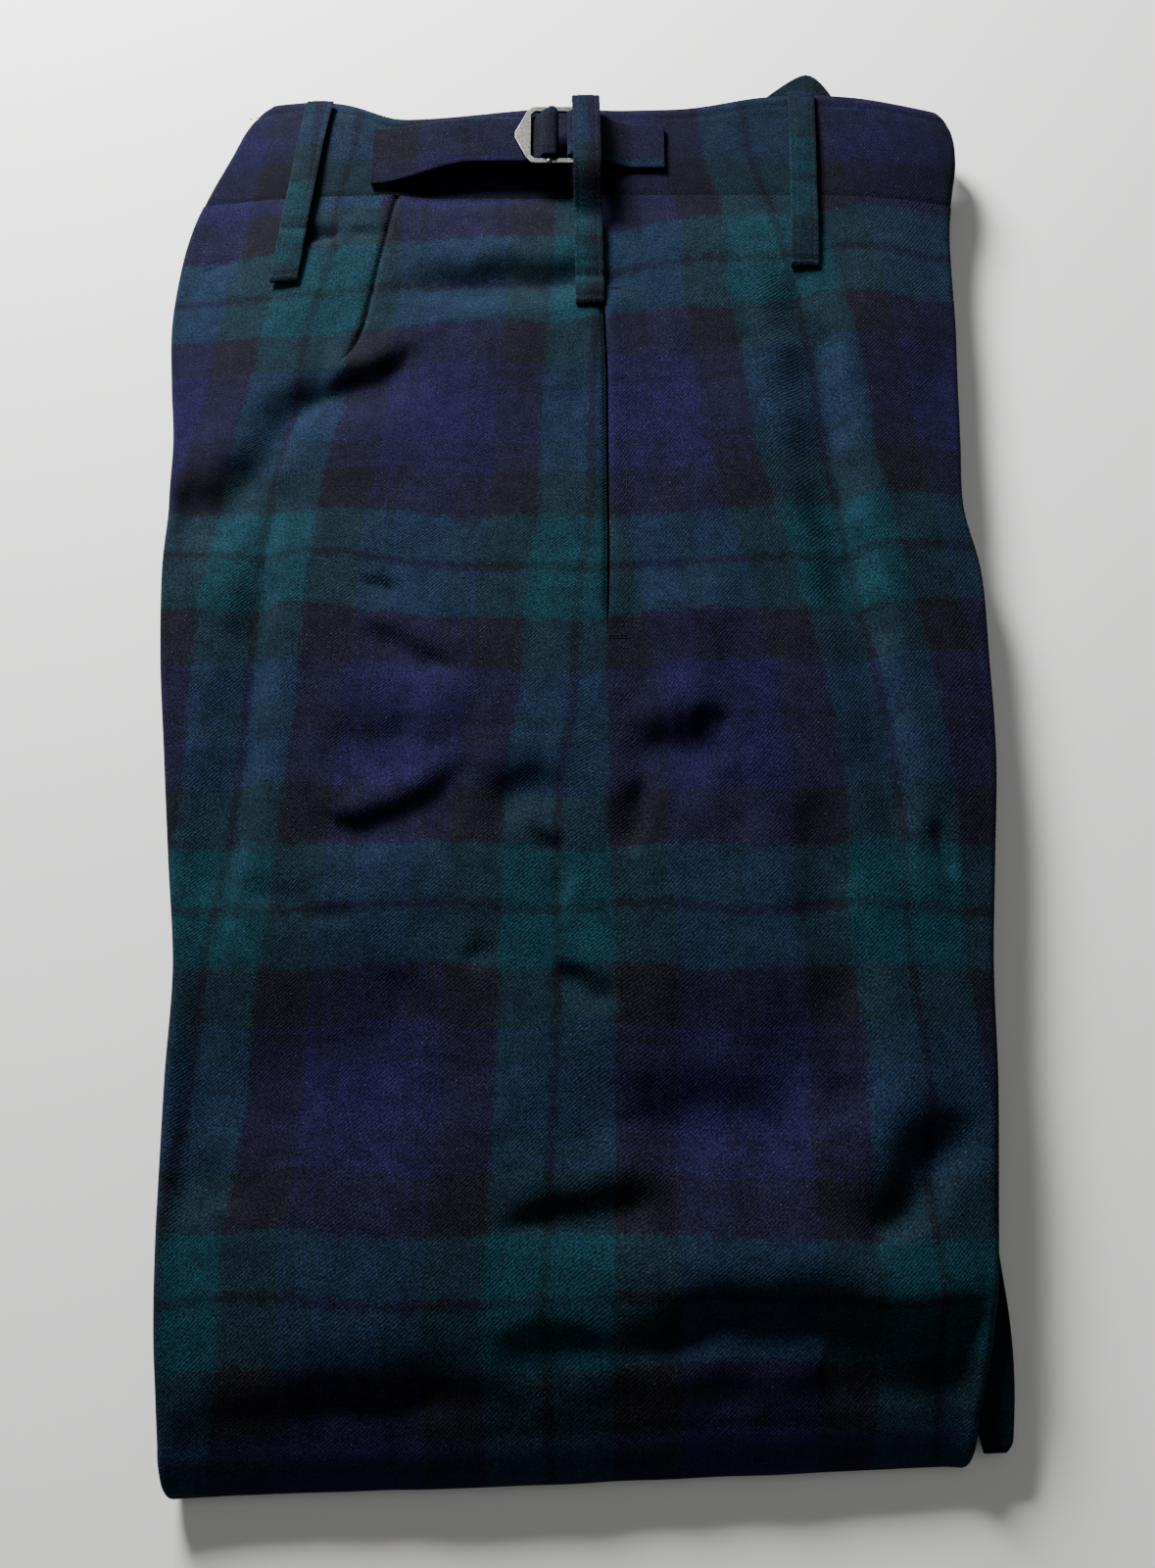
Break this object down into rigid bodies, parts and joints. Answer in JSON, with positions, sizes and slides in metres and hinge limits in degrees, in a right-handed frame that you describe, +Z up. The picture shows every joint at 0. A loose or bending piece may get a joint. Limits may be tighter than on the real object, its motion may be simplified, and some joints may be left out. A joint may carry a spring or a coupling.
{
  "type": "tartan trews, folded flat",
  "caption": "Tartan wool trews folded leg on leg and then in half, lying flat, with long belt loops and a side adjuster strap with a slide buckle.",
  "frame": {"origin": "middle of the bounding box at the surface that the folded garment lies on", "axes": "+Y towards the waist, +X towards the front crease, +Z up from the surface"},
  "size_m": [0.3502, 0.5896, 0.0406],
  "materials": {
    "tartan_wool": "twill woven wool in a dark blue, green and black tartan, slightly napped",
    "tartan_trim": "the same wool tartan, cut narrow and edge stitched",
    "plated_steel": "stamped steel, nickel plated and lightly worn"
  },
  "bodies": {
    "root": {"near_back_panel": "tartan_wool", "near_front_panel": "tartan_wool", "hidden_layers": "tartan_wool", "near_waistband": "tartan_wool", "far_waistband": "tartan_wool", "back_belt_loop": "tartan_trim", "side_belt_loop": "tartan_trim", "front_belt_loop": "tartan_trim", "adjuster_strap": "tartan_trim", "adjuster_tab": "tartan_trim", "adjuster_buckle": "plated_steel"}
  },
  "joints": []
}
